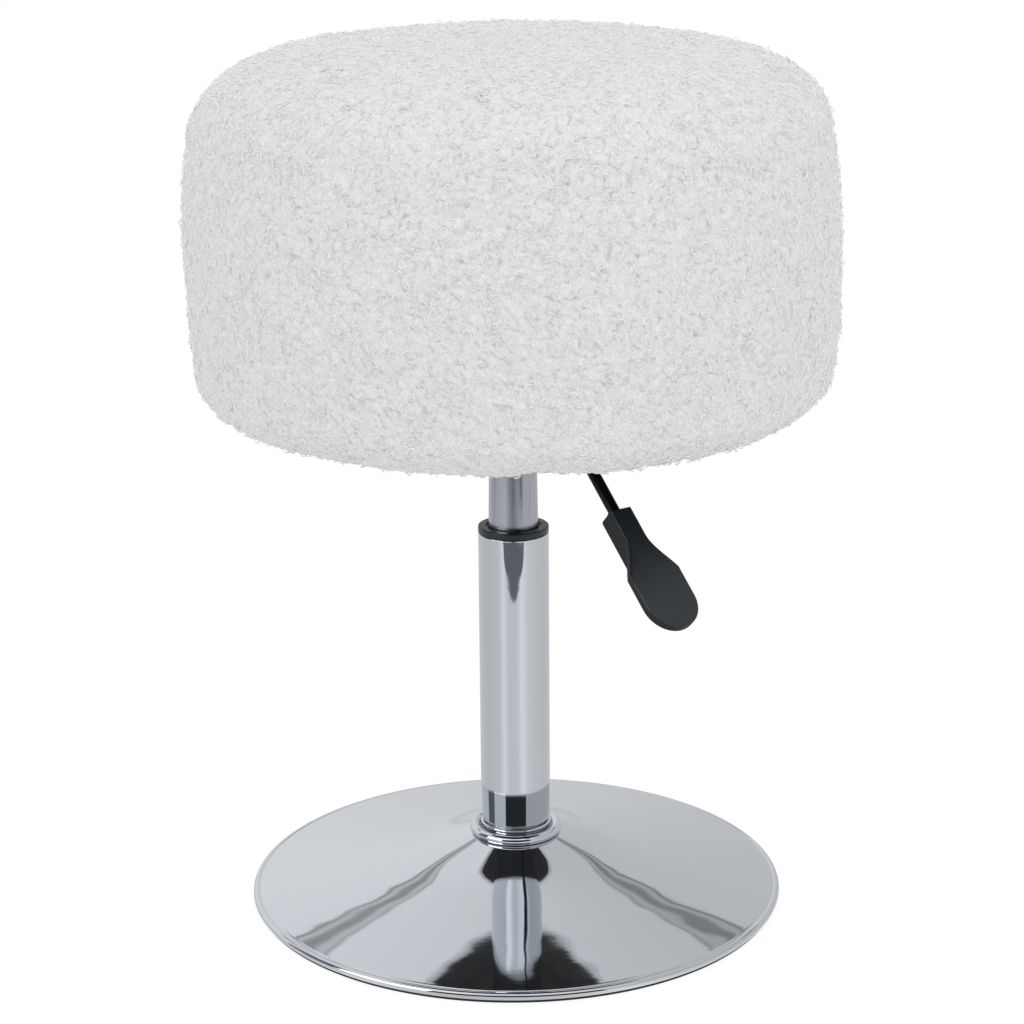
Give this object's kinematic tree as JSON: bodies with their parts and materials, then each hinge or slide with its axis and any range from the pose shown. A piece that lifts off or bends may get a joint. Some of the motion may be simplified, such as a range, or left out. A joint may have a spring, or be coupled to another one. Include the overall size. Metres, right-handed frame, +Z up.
{
  "type": "upholstered drum stool",
  "caption": "Low round stool: bouclé drum seat on a gas spring that swivels and lifts, chrome column, chrome dish base and a height lever under the seat.",
  "frame": {"origin": "on the floor, at the middle of the round base", "axes": "+Z up along the column, +X towards the side where the height lever comes out, +Y to the left of the lever"},
  "size_m": [0.3604, 0.3604, 0.498],
  "materials": {
    "chrome": "bright mirror plating",
    "gas_tube": "satin, drawn lengthways",
    "plain_steel": "zinc plated, dull",
    "black_steel": "black powder coat",
    "black_plastic": "moulded, fine matte",
    "black_rubber": "matte",
    "brass": "turned",
    "boucle": "off-white bouclé, tight curly loops",
    "black_fabric": "thin black non-woven",
    "foam": "open-cell foam",
    "plywood": "plain plywood"
  },
  "bodies": {
    "base": {"base_dish": "chrome", "floor_ring": "black_rubber", "base_plate": "black_steel", "column_socket": "plain_steel", "base_bolt_1": "plain_steel", "base_bolt_2": "plain_steel", "base_bolt_3": "plain_steel", "base_bolt_4": "plain_steel", "base_collar": "chrome", "column_tube": "chrome", "guide_bushing": "black_plastic", "bearing_lower_race": "plain_steel"},
    "bearing_cage": {"ball_cage": "brass", "bearing_ball_1": "plain_steel", "bearing_ball_2": "plain_steel", "bearing_ball_3": "plain_steel", "bearing_ball_4": "plain_steel", "bearing_ball_5": "plain_steel", "bearing_ball_6": "plain_steel", "bearing_ball_7": "plain_steel", "bearing_ball_8": "plain_steel"},
    "spindle": {"piston_rod": "gas_tube", "retaining_clip": "plain_steel", "spindle_washer": "plain_steel", "bearing_upper_race": "plain_steel", "bump_stop": "black_rubber", "piston": "plain_steel", "piston_seal": "black_rubber"},
    "seat": {"pressure_tube": "gas_tube", "rod_guide": "black_plastic", "rod_seal": "black_rubber", "inner_tube": "plain_steel", "valve_body": "brass", "taper_hub": "plain_steel", "lever_bracket": "black_steel", "mount_plate": "black_steel", "pivot_pin": "plain_steel", "pivot_spacer_left": "black_plastic", "pivot_spacer_right": "black_plastic", "plate_bolt_1": "plain_steel", "plate_bolt_2": "plain_steel", "plate_bolt_3": "plain_steel", "plate_bolt_4": "plain_steel", "tee_nut_1": "plain_steel", "tee_nut_2": "plain_steel", "tee_nut_3": "plain_steel", "tee_nut_4": "plain_steel", "seat_board": "plywood", "dust_cover": "black_fabric", "foam_block": "foam", "boucle_cover": "boucle"},
    "lever": {"lever_rod": "black_steel", "lever_handle": "black_plastic"},
    "release": {"release_pin": "plain_steel"}
  },
  "joints": [
    {"name": "swivel", "type": "hinge", "parent": "base", "child": "spindle", "pos_m": [0, 0, 0], "axis": [0, 0, 1], "continuous": true},
    {"name": "bearing_roll", "type": "hinge", "parent": "base", "child": "bearing_cage", "pos_m": [0, 0, 0], "axis": [0, 0, 1], "continuous": true},
    {"name": "height_lift", "type": "slide", "parent": "spindle", "child": "seat", "axis": [0, 0, 1], "range_m": [0, 0.12]},
    {"name": "lever_lift", "type": "hinge", "parent": "seat", "child": "lever", "pos_m": [0.032, 0, 0.281], "axis": [0, -1, 0], "range_deg": [0, 7], "stiffness_Nm_per_rad": 3, "springref_deg": -8.59},
    {"name": "pin_press", "type": "slide", "parent": "seat", "child": "release", "axis": [0, 0, -1], "range_m": [0, 0.0042]}
  ],
  "couplings": [
    {"joint": "bearing_roll", "follows": "swivel", "ratio": 0.5},
    {"joint": "pin_press", "follows": "lever_lift", "m_per_rad": 0.0335}
  ]
}
